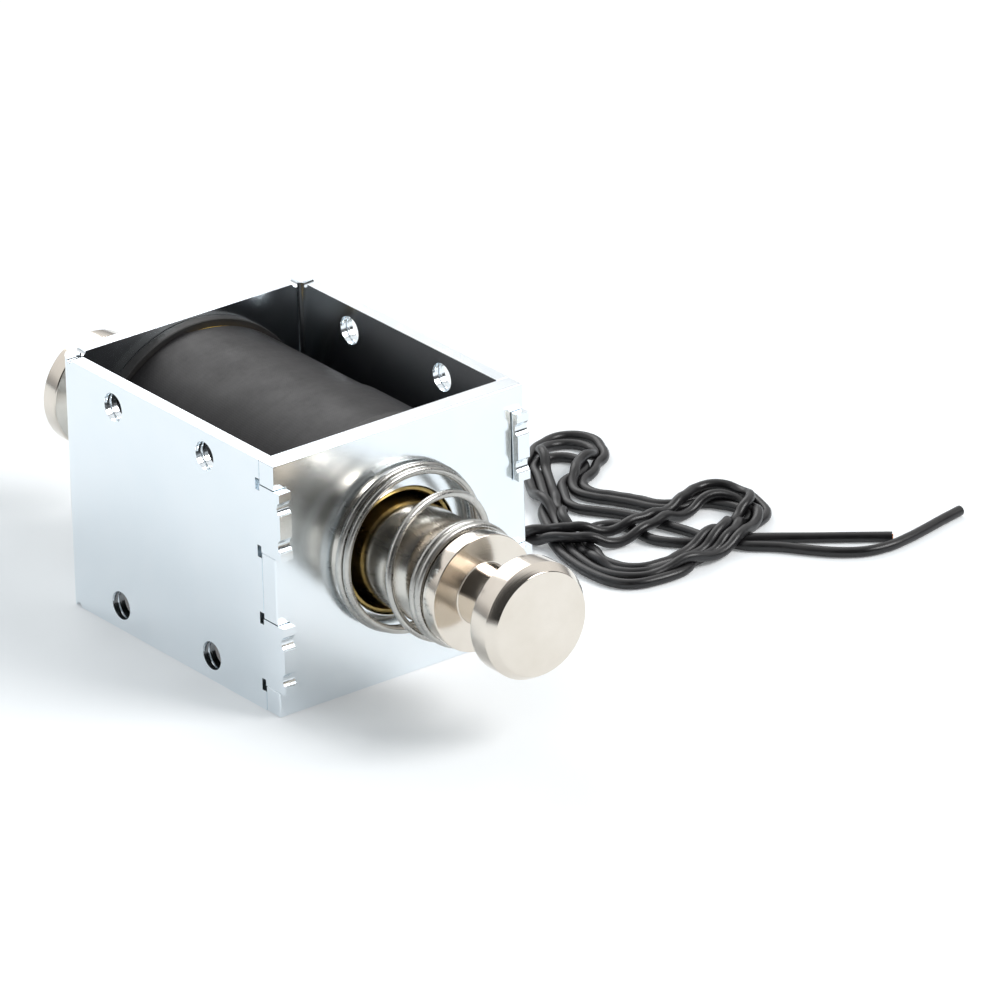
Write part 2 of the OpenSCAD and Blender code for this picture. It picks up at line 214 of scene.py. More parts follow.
@functools.cache
def grain_group(grain: Grain) -> Tree:
    """Fine parallel lines: along a rolled sheet, round a turned part or along a drawn wire.

    Args:
        grain: the way that the lines run.

    Returns:
        The group, with output Height.
    """
    made = GroupMaker(
        grain.value + "_lines", ("Height",), {"Lines per mm": 6.0, "Axis height": AXIS_Z * MM},
    )
    # How close the lines lie along x, y and z. A turned part has its radius in place of x.
    shares = {
        Grain.TURNED: (1.0, 1.0, 0.0),
        Grain.ROLLED: (1.0, 0.03, 1.0),
        Grain.DRAWN: (0.4, 1.0, 0.4),
    }[grain]
    x, y, z = made.node("SeparateXYZ", {0: made.inputs["Vector"]}).outputs
    rate = made.math("MULTIPLY", made.inputs["Lines per mm"], 1 / MM)
    if grain is Grain.TURNED:
        up = made.math("SUBTRACT", z, made.inputs["Axis height"])
        squares = made.math("ADD", made.math("MULTIPLY", x, x), made.math("MULTIPLY", up, up))
        x = made.math("SQRT", squares)
    place = made.node("CombineXYZ", {
        number: made.math("MULTIPLY", made.math("MULTIPLY", part, rate), share)
        for number, (part, share) in enumerate(zip((x, y, z), shares))
    })
    noise = {"Vector": place.outputs[0], "Scale": 1.0, "Detail": 2.0}
    return made.done({"Height": made.node("TexNoise", noise).outputs[0]})


@functools.cache
def tape_group() -> Tree:
    """The surface of wound tape: fine threads round and along the coil, and soft wrinkles.

    Returns:
        The group, with outputs Height and Mask; the Mask is painted shade of the wrinkles, 0 in
        their hollows and 1 on the raised folds.
    """
    made = GroupMaker("tape_threads_and_fold_shade", ("Height", "Mask"), {
        "Threads per mm": 3.0, "Coil radius": 0.0142, "Axis height": AXIS_Z * MM, "Wrinkle": 0.6,
    })
    thread_height = 0.06
    wrinkles_per_m = (90.0, 420.0)
    x, y, z = made.node("SeparateXYZ", {0: made.inputs["Vector"]}).outputs
    up = made.math("SUBTRACT", z, made.inputs["Axis height"])
    around = made.math("MULTIPLY", made.math("ARCTAN2", up, x), made.inputs["Coil radius"])
    rate = made.math("MULTIPLY", made.inputs["Threads per mm"], 2 * math.pi / MM)
    weft = made.math("SINE", made.math("MULTIPLY", around, rate))
    warp = made.math("SINE", made.math("MULTIPLY", y, rate))
    flat = made.node("CombineXYZ", {
        0: made.math("MULTIPLY", around, wrinkles_per_m[0]),
        1: made.math("MULTIPLY", y, wrinkles_per_m[1]),
    })
    noise = {"Vector": flat.outputs[0], "Scale": 1.0, "Detail": 3.0, "Roughness": 0.55}
    folds = made.node("TexNoise", noise).outputs[0]
    threads = made.math("MULTIPLY", made.math("MULTIPLY", weft, warp), thread_height)
    height = made.math("ADD", threads, made.math("MULTIPLY", folds, made.inputs["Wrinkle"]))
    # Painted shade: the mask follows the folds of the bump, low in their hollows and high on their
    # ridges.
    mask = made.node("MapRange", {"Value": folds, "From Min": 0.3, "From Max": 0.7}).outputs[0]
    return made.done({"Height": height, "Mask": mask})


@functools.cache
def strands_group() -> Tree:
    """Close turns of fine round wire side by side along the coil.

    Returns:
        The group, with outputs Height and Mask; the Mask is painted shade, 0 in the grooves between
        the turns and 1 on their crests.
    """
    made = GroupMaker("wound_strands_and_groove_shade", ("Height", "Mask"), {"Turns per mm": 4.0})
    vector = made.inputs["Vector"]
    y = made.node("SeparateXYZ", {0: vector}).outputs[1]
    rate = made.math("MULTIPLY", made.inputs["Turns per mm"], math.pi / MM)
    # Painted shade: the round profile of each turn, dark where the turns meet and light on their
    # crests.
    rounds = made.math("ABSOLUTE", made.math("SINE", made.math("MULTIPLY", y, rate)))
    stray = made.node("TexNoise", {"Vector": vector, "Scale": 400.0, "Detail": 2.0}).outputs[0]
    height = made.math("ADD", rounds, made.math("MULTIPLY", stray, 0.4))
    return made.done({"Height": height, "Mask": rounds})


# ---------------------------------------------------------------- finishes

class MaterialMaker(Nodes):
    """A new material with one Principled shader, and short calls to add nodes to it."""

    def __init__(self, name: str) -> None:
        """Starts the material.

        Args:
            name: the name of the material.
        """
        self.material = bpy.data.materials.new(name)
        self.material.use_nodes = True
        super().__init__(self.material.node_tree)
        self.shader = self.tree.nodes["Principled BSDF"]

    @functools.cached_property
    def place(self) -> Socket:
        """The object coordinates, which feed every group."""
        return self.node("TexCoord").outputs["Object"]

    def set(self, **values: object) -> None:
        """Sets uniform values on the shader's own sockets, with _ for the spaces in their names."""
        for key, value in values.items():
            self.shader.inputs[key.replace("_", " ")].default_value = value

    def feed(self, source: Socket, name: str) -> None:
        """Links a socket to one of the shader's inputs."""
        self.tree.links.new(source, self.shader.inputs[name])

    def group(self, tree: Tree, **values: object) -> Dict[str, Socket]:
        """Places a node group, fed with the object coordinates.

        Args:
            tree: the group.
            values: its numbers, with _ for the spaces in their names.

        Returns:
            The group node's outputs.
        """
        numbers = {key.replace("_", " "): value for key, value in values.items()}
        return self.node("Group", {"Vector": self.place, **numbers}, node_tree=tree).outputs

    def patches(self, scale: float, contrast: float, smooth: float, rough: float) -> Socket:
        """Places the blotches and lets them drive the roughness.

        Args:
            scale: how fine they are.
            contrast: how hard their edges are.
            smooth: the lowest roughness.
            rough: the highest roughness.

        Returns:
            Their mask.
        """
        made = self.group(
            blotches_group(), Scale=scale, Contrast=contrast, Low=smooth, High=rough,
        )
        self.feed(made["Value"], "Roughness")
        return made["Mask"]

    def tint(self, mask: Socket, low: Colour, high: Colour) -> None:
        """Colours the surface by a mask.

        Args:
            mask: the blend, from 0 to 1.
            low: the colour at 0.
            high: the colour at 1.
        """
        links = {"Factor": mask, "A": (*low, 1.0), "B": (*high, 1.0)}
        mix = self.node("Mix", links, data_type="RGBA")
        self.feed(mix.outputs["Result"], "Base Color")

    def bumps(self, *layers: Tuple[Socket, float, float]) -> None:
        """Stacks bump nodes on the shader's normal.

        Args:
            layers: height socket, strength and height in millimetres of each layer.
        """
        below: Dict[str, Socket] = {}
        for height, strength, distance in layers:
            links = {"Strength": strength, "Distance": distance * MM, "Height": height, **below}
            below = {"Normal": self.node("Bump", links).outputs["Normal"]}
        self.feed(below["Normal"], "Normal")


@dataclass(frozen=True)
class Metal:
    """A bare or plated metal with patches and fine lines."""

    slot: Slot
    low: Colour
    high: Colour
    smooth: float
    rough: float
    grain: Grain
    lines_per_mm: float
    line_depth: float
    patch_scale: float = 160.0
    patch_contrast: float = 2.4

    def material(self) -> Material:
        """Builds the finish.

        Returns:
            The material.
        """
        made = MaterialMaker(self.slot.value + "_finish")
        made.set(Metallic=1.0)
        mask = made.patches(self.patch_scale, self.patch_contrast, self.smooth, self.rough)
        lines = made.group(grain_group(self.grain), Lines_per_mm=self.lines_per_mm)
        made.tint(mask, self.low, self.high)
        made.bumps((mask, 0.15, 0.02), (lines["Height"], 0.5, self.line_depth))
        return made.material


@dataclass(frozen=True)
class Moulded:
    """A plastic, rubber or insulation with a faint orange-peel surface and patches of wear."""

    slot: Slot
    low: Colour
    high: Colour
    smooth: float
    rough: float
    peel: float = 0.02
    patch_scale: float = 260.0
    peel_scale: float = 9.0

    def material(self) -> Material:
        """Builds the finish.

        Returns:
            The material.
        """
        made = MaterialMaker(self.slot.value + "_finish")
        fine_scale = self.patch_scale * self.peel_scale
        fine = made.group(blotches_group(), Scale=fine_scale, Contrast=1.6)
        made.tint(made.patches(self.patch_scale, 2.6, self.smooth, self.rough), self.low, self.high)
        made.bumps((fine["Mask"], 0.35, self.peel))
        return made.material


@dataclass(frozen=True)
class WoundTape:
    """Black tape wound tightly round the coil, with painted shade in the hollows of its wrinkles.
    """

    slot: Slot = Slot.TAPE
    # low is the painted shade in the hollows of the wrinkles, high the colour on the raised folds.
    low: Colour = (0.008, 0.0072, 0.008)
    high: Colour = (0.017, 0.0155, 0.0165)
    threads_per_mm: float = 3.0

    def material(self) -> Material:
        """Builds the finish.

        Returns:
            The material.
        """
        made = MaterialMaker(self.slot.value + "_finish")
        made.set(Specular_IOR_Level=0.3)
        made.patches(240.0, 2.2, 0.34, 0.5)
        tape = made.group(tape_group(), Threads_per_mm=self.threads_per_mm, Wrinkle=0.7)
        # Painted shade: the tape darkens in the hollows of its wrinkles.
        made.tint(tape["Mask"], self.low, self.high)
        made.bumps((tape["Height"], 0.7, 0.06))
        return made.material


@dataclass(frozen=True)
class AmberFilm:
    """Thin amber film with the turns of the winding showing in it."""

    slot: Slot = Slot.AMBER
    low: Colour = (0.52, 0.25, 0.03)
    high: Colour = (0.86, 0.6, 0.1)

    def material(self) -> Material:
        """Builds the finish.

        Returns:
            The material.
        """
        made = MaterialMaker(self.slot.value + "_finish")
        made.set(Coat_Weight=0.8, Coat_Roughness=0.08)
        strands = made.group(strands_group(), Turns_per_mm=3.0)
        made.tint(made.patches(300.0, 3.0, 0.15, 0.35), self.low, self.high)
        made.bumps((strands["Height"], 0.5, 0.03))
        return made.material


@dataclass(frozen=True)
class EnamelledWire:
    """Copper winding of enamelled wire, with painted shade in the grooves between its turns."""

    slot: Slot = Slot.COPPER
    # low is the painted shade in the grooves between the turns, high the colour on their crests.
    low: Colour = (0.24, 0.07, 0.03)
    high: Colour = (0.8, 0.34, 0.15)

    def material(self) -> Material:
        """Builds the finish.

        Returns:
            The material.
        """
        made = MaterialMaker(self.slot.value + "_finish")
        made.set(Metallic=1.0, Coat_Weight=0.5)
        made.patches(500.0, 2.0, 0.2, 0.4)
        strands = made.group(strands_group(), Turns_per_mm=4.0)
        # Painted shade: the copper darkens in the grooves between the turns.
        made.tint(strands["Mask"], self.low, self.high)
        made.bumps((strands["Height"], 0.8, 0.1))
        return made.material


class Finishes:
    """Every finish of the object, each material built once, at its first use."""

    ALL = (
        Metal(
            Slot.ZINC, (0.8, 0.86, 0.9), (0.88, 0.92, 0.95), 0.14, 0.24,
            Grain.ROLLED, 5.0, 0.005, 70.0, 2.0,
        ),
        Metal(
            Slot.NICKEL, (0.7, 0.64, 0.56), (0.8, 0.74, 0.67), 0.09, 0.19,
            Grain.TURNED, 9.0, 0.008, 120.0, 2.0,
        ),
        Metal(
            Slot.GROUND, (0.66, 0.66, 0.66), (0.78, 0.78, 0.78), 0.12, 0.22,
            Grain.TURNED, 14.0, 0.008,
        ),
        Metal(
            Slot.CORE, (0.55, 0.55, 0.54), (0.7, 0.7, 0.69), 0.25, 0.4,
            Grain.TURNED, 8.0, 0.015,
        ),
        Metal(
            Slot.SPRING, (0.4, 0.39, 0.37), (0.6, 0.59, 0.56), 0.2, 0.36,
            Grain.DRAWN, 10.0, 0.01, 300.0,
        ),
        Metal(
            Slot.BRASS, (0.24, 0.17, 0.06), (0.58, 0.44, 0.18), 0.22, 0.4,
            Grain.TURNED, 8.0, 0.012, 220.0, 3.0,
        ),
        Metal(
            Slot.BRONZE, (0.36, 0.22, 0.1), (0.62, 0.43, 0.22), 0.35, 0.55,
            Grain.TURNED, 5.0, 0.02, 500.0, 3.0,
        ),
        Moulded(Slot.BOBBIN, (0.012, 0.011, 0.011), (0.024, 0.022, 0.021), 0.42, 0.6),
        Moulded(Slot.RUBBER, (0.02, 0.02, 0.02), (0.035, 0.034, 0.033), 0.5, 0.75, 0.03),
        Moulded(Slot.SLEEVING, (0.015, 0.015, 0.016), (0.03, 0.03, 0.032), 0.35, 0.5),
        Moulded(
            Slot.INSULATION, (0.006, 0.0055, 0.006), (0.013, 0.012, 0.013), 0.28, 0.42,
            0.008, 180.0,
        ),
        WoundTape(),
        AmberFilm(),
        EnamelledWire(),
    )

    def __init__(self) -> None:
        """Starts with no material built."""
        self.built: Dict[Slot, Material] = {}

    def __getitem__(self, slot: Slot) -> Material:
        """The material of a slot, built at its first use."""
        if slot not in self.built:
            finish = next(finish for finish in self.ALL if finish.slot is slot)
            self.built[slot] = finish.material()
        return self.built[slot]


# ---------------------------------------------------------------- mesh tools

def placed(name: str, data: bpy.types.ID) -> Piece:
    """Puts a new object into the scene.

    Args:
        name: the object's name.
        data: its mesh, curve, camera or lamp.

    Returns:
        The new object.
    """
    piece = bpy.data.objects.new(name, data)
    bpy.context.scene.collection.objects.link(piece)
    return piece


def mesh_piece(
    name: str, points: Sequence[Point], faces: Sequence[Sequence[int]], sharp: float = 35.0,
) -> Piece:
    """Makes a smooth-shaded mesh object whose edges stay sharp past an angle.

    Args:
        name: the piece's name.
        points: its points in metres.
        faces: its faces, as point numbers.
        sharp: the angle past which an edge is sharp, in degrees.

    Returns:
        The new object.
    """
    mesh = bpy.data.meshes.new(name)
    mesh.from_pydata([tuple(map(float, p)) for p in points], [], [tuple(f) for f in faces])
    mesh.validate()
    solid = bmesh.new()
    solid.from_mesh(mesh)
    bmesh.ops.recalc_face_normals(solid, faces=solid.faces)
    solid.to_mesh(mesh)
    solid.free()
    mesh.shade_smooth()
    mesh.set_sharp_from_angle(angle=math.radians(sharp))
    return placed(name, mesh)


def rings_of(count: int, width: int, start: int = 0) -> List[List[int]]:
    """Numbers the points of rings that follow each other.

    Args:
        count: the number of rings.
        width: the points in each ring.
        start: the number of the first point.

    Returns:
        The point numbers of each ring.
    """
    return [list(range(start + i * width, start + (i + 1) * width)) for i in range(count)]


def skin_faces(
    rings: Sequence[Sequence[int]], closed: bool = False, capped: bool = False,
) -> List[List[int]]:
    """Joins rings of points with faces.

    Args:
        rings: the point numbers of each ring; one that repeats a single point ends in a fan.
        closed: True where the last ring joins the first.
        capped: True where a flat face closes each end.

    Returns:
        The faces, as point numbers.
    """
    pairs = list(zip(rings, rings[1:]))
    if closed:
        pairs.append((rings[-1], rings[0]))
    faces = []
    for here, there in pairs:
        for k in range(len(here)):
            after = (k + 1) % len(here)
            faces.append(list(dict.fromkeys((here[k], here[after], there[after], there[k]))))
    if capped:
        faces += [list(rings[0])[::-1], list(rings[-1])]
    return faces


def rounded(profile: Sequence[Point], steps: int = 4) -> List[Tuple[float, float]]:
    """Rounds the corners of a profile.

    Args:
        profile: radius, place along the axis and corner radius of each point, in millimetres.
        steps: points on each arc, less one.

    Returns:
        Radius and place of each point of the rounded profile.
    """
    out: List[Tuple[float, float]] = []
    count = len(profile)
    for i, (radius, place, corner) in enumerate(profile):
        here = Vector((radius, place))
        if corner <= 0 or i in (0, count - 1):
            out.append((radius, place))
            continue
        before = Vector(profile[i - 1][:2]) - here
        after = Vector(profile[i + 1][:2]) - here
        half = before.angle(after) / 2
        reach = min(corner / math.tan(half), before.length * 0.49, after.length * 0.49)
        first = here + before.normalized() * reach
        last = here + after.normalized() * reach
        for k in range(steps + 1):
            t = k / steps
            spot = first * (1 - t) ** 2 + here * 2 * t * (1 - t) + last * t ** 2
            out.append((spot.x, spot.y))
    return out


def lathe(name: str, profile: Sequence[Point], closed: bool, segments: int = 144) -> Piece:
    """Turns a profile round the plunger's axis.

    Args:
        name: the piece's name.
        profile: radius, y and corner radius of each point, in millimetres.
        closed: True where the profile is a ring's section and its last point joins its first.
        segments: steps round the axis.

    Returns:
        The new object.
    """
    line = rounded([profile[-1], *profile, profile[0]])[1:-1] if closed else rounded(profile)
    turns = [2 * math.pi * k / segments for k in range(segments)]
    points: List[Point] = []
    rings: List[List[int]] = []
    for radius, y in line:
        if radius < 1e-6:
            rings.append([len(points)] * segments)
            points.append((0.0, y * MM, AXIS_Z * MM))
            continue
        rings += rings_of(1, segments, len(points))
        points += [
            (radius * MM * math.cos(turn), y * MM, (AXIS_Z + radius * math.sin(turn)) * MM)
            for turn in turns
        ]
    return mesh_piece(name, points, skin_faces(rings, closed))


def sweep(name: str, path: np.ndarray, radius: float, sides: int) -> Piece:
    """Sweeps a round wire along a path, with flat ends.

    Args:
        name: the piece's name.
        path: the points of its centre line, in metres.
        radius: the wire's radius in metres.
        sides: the number of sides of the wire.

    Returns:
        The new object.
    """
    ahead = np.gradient(path, axis=0)
    ahead /= np.linalg.norm(ahead, axis=1)[:, None]
    side = np.cross(ahead[0], (0.0, 1.0, 0.0))
    points = []
    for here, forward in zip(path, ahead):
        side = side - forward * float(side @ forward)
        side /= np.linalg.norm(side)
        over = np.cross(forward, side)
        for k in range(sides):
            turn = 2 * math.pi * k / sides
            points.append(here + radius * (math.cos(turn) * side + math.sin(turn) * over))
    return mesh_piece(name, points, skin_faces(rings_of(len(path), sides), capped=True), 50.0)


def bevelled_copy(
    name: str, nodes: Sequence[str], width: float, seams: Sequence[float] = (),
) -> Piece:
    """Copies the meshes of CAD nodes as one piece and rounds its edges slightly.

    Args:
        name: the piece's name.
        nodes: the CAD nodes.
        width: width of the rounding, in millimetres.
        seams: the x of the planes where the nodes are one sheet of metal, in millimetres.

    Returns:
        The new object, which isn't yet riding on a body.
    """
    mesh = bpy.data.meshes.new(name)
    solid = bmesh.new()
    for node in nodes:
        solid.from_mesh(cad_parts[node].data)
    hidden = [
        face for face in solid.faces
        for x in seams
        if all(abs(corner.co.x - x * MM) < 1e-5 for corner in face.verts)
    ]
    bmesh.ops.delete(solid, geom=hidden, context="FACES")
    bmesh.ops.remove_doubles(solid, verts=solid.verts, dist=2e-6)
    bmesh.ops.dissolve_limit(
        solid, angle_limit=math.radians(1.0), verts=solid.verts, edges=solid.edges,
    )
    solid.to_mesh(mesh)
    solid.free()
    mesh.shade_smooth()
    mesh.set_sharp_from_angle(angle=math.radians(35.0))
    piece = placed(name, mesh)
    bevel = piece.modifiers.new("rounding", "BEVEL")
    bevel.width = width * MM
    bevel.segments = 2
    bevel.limit_method = "ANGLE"
    bevel.angle_limit = math.radians(50.0)
    bevel.harden_normals = True
    bevel.use_clamp_overlap = True
    return piece


class Dresser:
    """Gives a piece its material, its body and the CAD nodes that it stands for."""

    def __init__(self, finishes: Finishes) -> None:
        """Keeps the finishes.

        Args:
            finishes: the object's finishes.
        """
        self.finishes = finishes

    def dress(self, piece: Piece, slot: Slot, body: Body, *nodes: str) -> Piece:
        """Finishes a new piece.

        Args:
            piece: the piece.
            slot: the material slot that it takes its finish from.
            body: the body that it rides on.
            nodes: the CAD nodes that it replaces.

        Returns:
            The same piece.
        """
        piece.data.materials.clear()
        piece.data.materials.append(self.finishes[slot])
        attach(piece, body.value)
        if nodes:
            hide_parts(*nodes)
        LOG.info("%s: %s, rides on %s", piece.name, slot.value, body.value)
        return piece

    def cover(self, node: str, slot: Slot) -> None:
        """Gives a CAD node that stays in view a better material.

        Args:
            node: the node's name.
            slot: the material slot.
        """
        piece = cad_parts[node]
        for place in piece.material_slots:
            place.link = "OBJECT"
            place.material = self.finishes[slot]
        LOG.info("%s: CAD node in %s", node, slot.value)


# ---------------------------------------------------------------- studio

@dataclass
class Studio:
    """The camera, the floor and the light."""

    eye: Point = (-0.6311, -0.8747, 0.5061)
    heading: float = 36.92
    tilt: float = 24.5
    roll: float = -1.48
    lens: float = 387.3
    floor_size: float = 12.0
    floor_depth: float = 2e-5
    floor_tone: float = 0.93
    floor_lift: float = 0.14
    daylight: float = 0.5
    day_colour: Colour = (0.84, 0.94, 1.0)
    dark_room: float = 0.05
    wall_foot: Colour = (0.34, 0.35, 0.37)
    wall_tones: Sequence[Tuple[float, float]] = ((0.12, 0.45), (0.3, 0.86), (0.6, 1.0))
    aim: Point = (0.01, 0.0, 0.012)
    lamps: Sequence[Tuple[str, Point, float, float, bool]] = (
        ("key", (0.6, -0.75, 0.85), 0.6, 11.0, True),
        ("fill", (-0.9, -0.5, 0.75), 0.9, 0.8, False),
        ("back", (0.25, 0.9, 0.8), 0.8, 4.0, True),
    )

    def build(self) -> None:
        """Makes the camera first, then the floor, the world and the lamps."""
        self.camera()
        self.floor()
        self.world()
        for lamp in self.lamps:
            self.lamp(*lamp)
        bpy.context.scene.view_settings.view_transform = "Standard"
        LOG.info("studio: camera, floor, world and lamps")

    def camera(self) -> None:
        """Makes the camera at the viewing angle."""
        data = bpy.data.cameras.new("camera")
        data.lens = self.lens
        data.sensor_width = 36.0
        data.clip_start = 0.05
        data.clip_end = 30.0
        piece = placed("camera", data)
        turn = Matrix.Rotation(math.radians(-self.heading), 4, "Z")
        nod = Matrix.Rotation(math.radians(90.0 - self.tilt), 4, "X")
        twist = Matrix.Rotation(math.radians(self.roll), 4, "Z")
        piece.matrix_world = Matrix.Translation(self.eye) @ turn @ nod @ twist
        bpy.context.scene.camera = piece

    def floor(self) -> None:
        """Makes the pale floor, a shade under the object so that nothing touches it."""
        half = self.floor_size / 2
        corners = ((-half, -half), (half, -half), (half, half), (-half, half))
        points = [(x, y, -self.floor_depth) for x, y in corners]
        piece = mesh_piece("floor", points, [(0, 1, 2, 3)])
        made = MaterialMaker("floor_paper")
        tone = self.floor_tone
        made.set(Base_Color=(tone, tone, tone, 1.0), Roughness=0.9, Specular_IOR_Level=0.0)
        made.set(Emission_Color=(1.0, 1.0, 1.0, 1.0))
        rays = made.node("LightPath").outputs
        seen = made.math("MAXIMUM", rays["Is Camera Ray"], rays["Is Glossy Ray"])
        made.feed(made.math("MULTIPLY", seen, self.floor_lift), "Emission Strength")
        piece.data.materials.append(made.material)

    def world(self) -> None:
        """Makes the studio's walls: white to look at and in the metal, softer as a light."""
        world = bpy.data.worlds.new("studio")
        bpy.context.scene.world = world
        world.use_nodes = True
        world.node_tree.nodes.clear()
        made = Nodes(world.node_tree)
        white = (1.0, 1.0, 1.0, 1.0)
        parts = made.node("SeparateXYZ", {0: made.node("TexCoord").outputs["Generated"]}).outputs
        ramp = made.node("ValToRGB", {0: parts["Z"]})
        steps = ramp.color_ramp.elements
        steps[0].position, steps[0].color = 0.0, (*self.wall_foot, 1.0)
        steps[1].position, steps[1].color = 1.0, white
        for position, tone in self.wall_tones:
            steps.new(position).color = (tone, tone, tone, 1.0)
        front = self.fade(made, parts["Y"], -0.1, -0.28)
        above = self.fade(made, parts["Z"], 0.0, 0.15)
        room = made.math("MULTIPLY", front, above)
        shade = made.node("MapRange", {"Value": room, "To Min": 1.0, "To Max": self.dark_room})
        wall = made.node("Background", {"Color": ramp.outputs[0], "Strength": shade.outputs[0]})
        plain = made.node("Background", {"Color": white, "Strength": 1.0})
        light = made.node(
            "Background", {"Color": (*self.day_colour, 1.0), "Strength": self.daylight},
        )
        rays = made.node("LightPath").outputs
        shiny = made.node(
            "MixShader", {0: rays["Is Glossy Ray"], 1: light.outputs[0], 2: wall.outputs[0]},
        )
        seen = made.node(
            "MixShader", {0: rays["Is Camera Ray"], 1: shiny.outputs[0], 2: plain.outputs[0]},
        )
        made.node("OutputWorld", {0: seen.outputs[0]})

    def fade(self, nodes: Nodes, value: Socket, start: float, end: float) -> Socket:
        """Adds a soft step.

        Args:
            nodes: the world's nodes.
            value: what the step is made in.
            start: where it is 0.
            end: where it is 1.

        Returns:
            The step's socket.
        """
        links = {"Value": value, "From Min": start, "From Max": end}
        return nodes.node("MapRange", links, interpolation_type="SMOOTHSTEP").outputs[0]

    def lamp(self, name: str, place: Point, size: float, power: float, mirrored: bool) -> None:
        """Makes one soft lamp aimed at the object.

        Args:
            name: the lamp's name.
            place: where it hangs, in metres.
            size: its width in metres.
            power: its power in watts.
            mirrored: True where shiny surfaces show it.
        """
        data = bpy.data.lights.new(name, "AREA")
        data.shape = "SQUARE"
        data.size = size
        data.energy = power
        piece = placed(name, data)
        piece.visible_glossy = mirrored
        aim = Vector(self.aim) - Vector(place)
        turn = aim.to_track_quat("-Z", "Y").to_matrix().to_4x4()
        piece.matrix_world = Matrix.Translation(place) @ turn


# ---------------------------------------------------------------- leads

